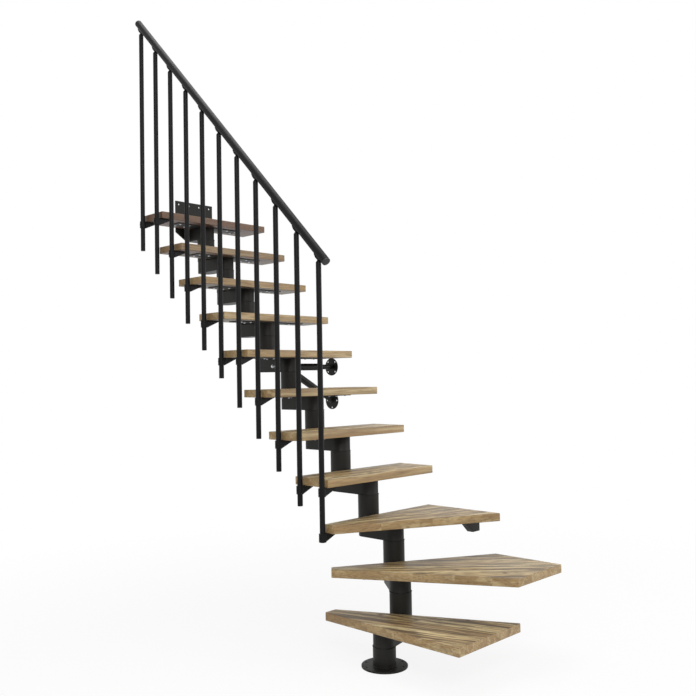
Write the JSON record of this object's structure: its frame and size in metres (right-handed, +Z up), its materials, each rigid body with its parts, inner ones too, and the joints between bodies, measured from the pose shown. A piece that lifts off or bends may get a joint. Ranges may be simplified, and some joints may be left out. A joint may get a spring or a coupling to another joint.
{
  "type": "central stringer staircase",
  "caption": "Quarter-turn staircase: steel modules form a central spine that carries solid wood treads, with a round handrail on slim balusters at one side.",
  "frame": {"origin": "centre of the base flange's underside, on the floor", "axes": "+Z up; +Y the way the straight flight climbs; +X to the right going up, towards the wall"},
  "size_m": [0.814, 2.252, 3.3645],
  "materials": {
    "stringer_coat": "satin black powder coat",
    "railing_coat": "satin black powder coat",
    "tread_wood": "oiled, glued solid staves, slightly eased edges",
    "cap_plastic": "moulded, matt"
  },
  "bodies": {
    "root": {"base_flange": "stringer_coat", "module_01": "stringer_coat", "module_02": "stringer_coat", "module_03": "stringer_coat", "module_04": "stringer_coat", "module_05": "stringer_coat", "module_06": "stringer_coat", "module_07": "stringer_coat", "module_08": "stringer_coat", "module_09": "stringer_coat", "module_10": "stringer_coat", "module_11": "stringer_coat", "landing_plate": "stringer_coat", "tread_plates": "stringer_coat", "tread_01": "tread_wood", "tread_02": "tread_wood", "tread_03": "tread_wood", "tread_04": "tread_wood", "tread_05": "tread_wood", "tread_06": "tread_wood", "tread_07": "tread_wood", "tread_08": "tread_wood", "tread_09": "tread_wood", "tread_10": "tread_wood", "tread_11": "tread_wood", "wall_bracket": "stringer_coat", "wall_foot_upper": "stringer_coat", "wall_foot_lower": "stringer_coat", "winder_wall_bracket": "stringer_coat", "baluster_brackets": "railing_coat", "baluster_01": "railing_coat", "baluster_02": "railing_coat", "baluster_03": "railing_coat", "baluster_04": "railing_coat", "baluster_05": "railing_coat", "baluster_06": "railing_coat", "baluster_07": "railing_coat", "baluster_08": "railing_coat", "baluster_09": "railing_coat", "baluster_10": "railing_coat", "baluster_11": "railing_coat", "rail_fittings": "railing_coat", "handrail": "railing_coat", "baluster_plugs": "cap_plastic", "rail_end_caps": "cap_plastic"}
  },
  "joints": []
}
